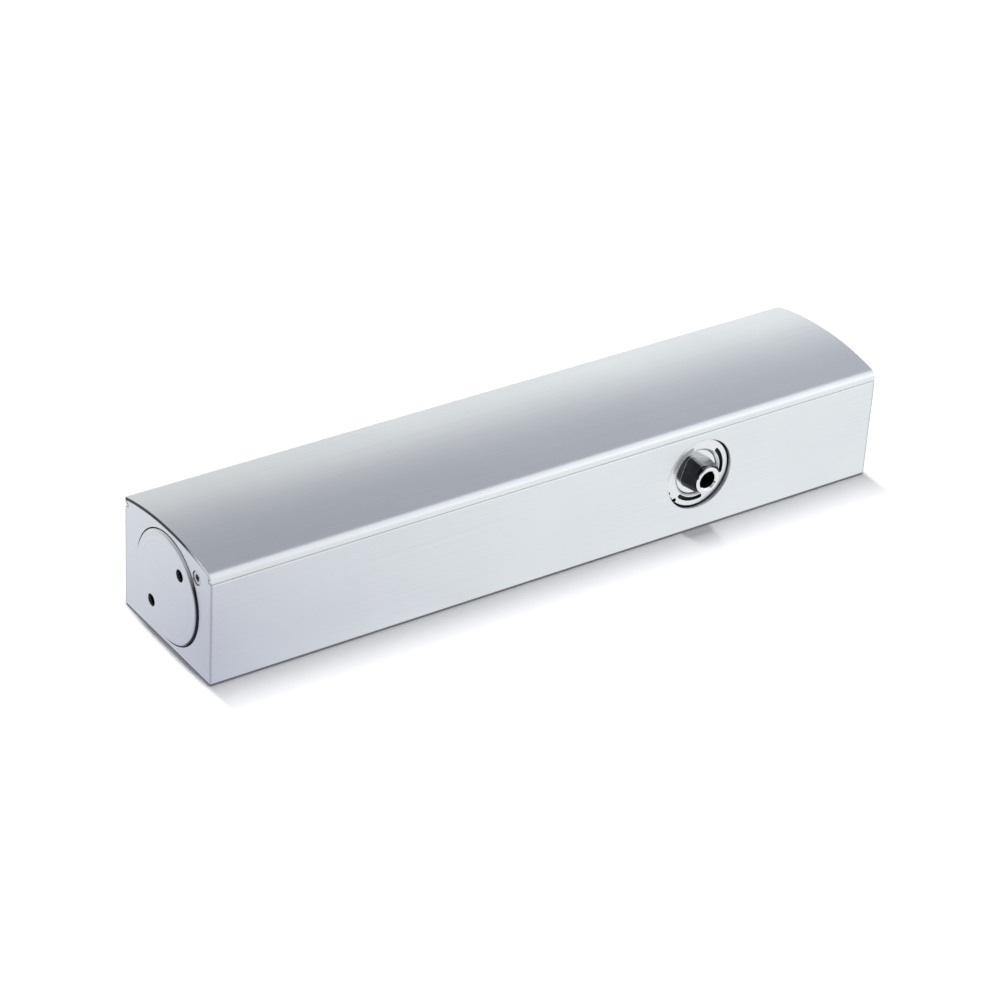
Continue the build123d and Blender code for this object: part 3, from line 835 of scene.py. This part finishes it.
def make_world():
    """World colour by direction, white where the camera looks past the floor."""
    world = bpy.data.worlds.new("studio")
    bpy.context.scene.world = world
    world.use_nodes = True
    tree = world.node_tree
    direction = parts_of(tree, coordinate(tree, "Generated"))
    horizon = sin(WORLD_LOW_ELEVATION)
    overhead = sin(WORLD_HIGH_ELEVATION)
    height = to_range(tree, direction["Z"], horizon, overhead, interpolation_type="SMOOTHSTEP")
    sky = mix_colour(tree, height, WORLD_LOW, WORLD_HIGH)
    share = to_range(tree, direction["X"], *WORLD_RIGHT_X, WORLD_REST_SHARE, 1.0)
    ray = add(tree, "ShaderNodeLightPath").outputs
    fill = to_range(tree, ray["Is Diffuse Ray"], 0.0, 1.0, 1.0, WORLD_FILL)
    strength = math_node(tree, "MULTIPLY", share, fill)
    lit = add(tree, "ShaderNodeVectorMath", {0: sky, "Scale": strength}, operation="SCALE").outputs[0]
    shown = mix_colour(tree, ray["Is Camera Ray"], lit, WORLD_WHITE)
    background = tree.nodes["Background"]
    tree.links.new(shown, background.inputs["Color"])
    background.inputs["Strength"].default_value = 1.0


def softbox(name, toward, distance, width, depth, radiance, mirrored):
    """An area light that faces the closer; metal mirrors it, or else it lights matt surfaces."""
    light = bpy.data.lights.new(name, "AREA")
    light.shape = "RECTANGLE"
    light.size = width
    light.size_y = depth
    light.energy = radiance * pi * width * depth
    lamp = new_object(name, light)
    lamp.location = Vector(toward).normalized() * distance
    lamp.rotation_mode = "QUATERNION"
    lamp.rotation_quaternion = Vector(toward).to_track_quat("Z", "Y")
    lamp.visible_glossy = mirrored
    lamp.visible_diffuse = not mirrored


def make_lamps():
    """A near lamp that metal mirrors, and a far one that casts the floor's soft shadow."""
    softbox(
        "front_softbox",
        toward=(0.50, -0.52, 0.69),
        distance=1.3,
        width=1.1,
        depth=1.1,
        radiance=0.60,
        mirrored=True,
    )
    softbox(
        "overhead_softbox",
        toward=(0.0, 0.17, 0.985),
        distance=8.0,
        width=0.40,
        depth=4.4,
        radiance=99.0,
        mirrored=False,
    )


def make_camera():
    """Camera at the photograph's viewing angle."""
    back = Vector(
        (
            sin(CAMERA_AZIMUTH) * cos(CAMERA_ELEVATION),
            -cos(CAMERA_AZIMUTH) * cos(CAMERA_ELEVATION),
            sin(CAMERA_ELEVATION),
        )
    )
    level = (-back).cross(Vector((0.0, 0.0, 1.0))).normalized()
    upright = level.cross(-back)
    right = level * cos(CAMERA_ROLL) + upright * sin(CAMERA_ROLL)
    up = upright * cos(CAMERA_ROLL) - level * sin(CAMERA_ROLL)
    place = CAMERA_AIM + back * CAMERA_DISTANCE
    data = bpy.data.cameras.new("camera")
    data.lens = CAMERA_LENS_MM
    data.sensor_width = CAMERA_SENSOR_MM
    data.clip_start = CAMERA_NEAREST
    data.clip_end = CAMERA_FARTHEST
    camera = new_object("camera", data)
    camera.matrix_world = Matrix.Translation(place) @ Matrix((right, up, back)).transposed().to_4x4()
    bpy.context.scene.camera = camera


dress_closer()
make_floor()
make_dark_card()
make_world()
make_lamps()
make_camera()
bpy.context.scene.view_settings.view_transform = "Standard"
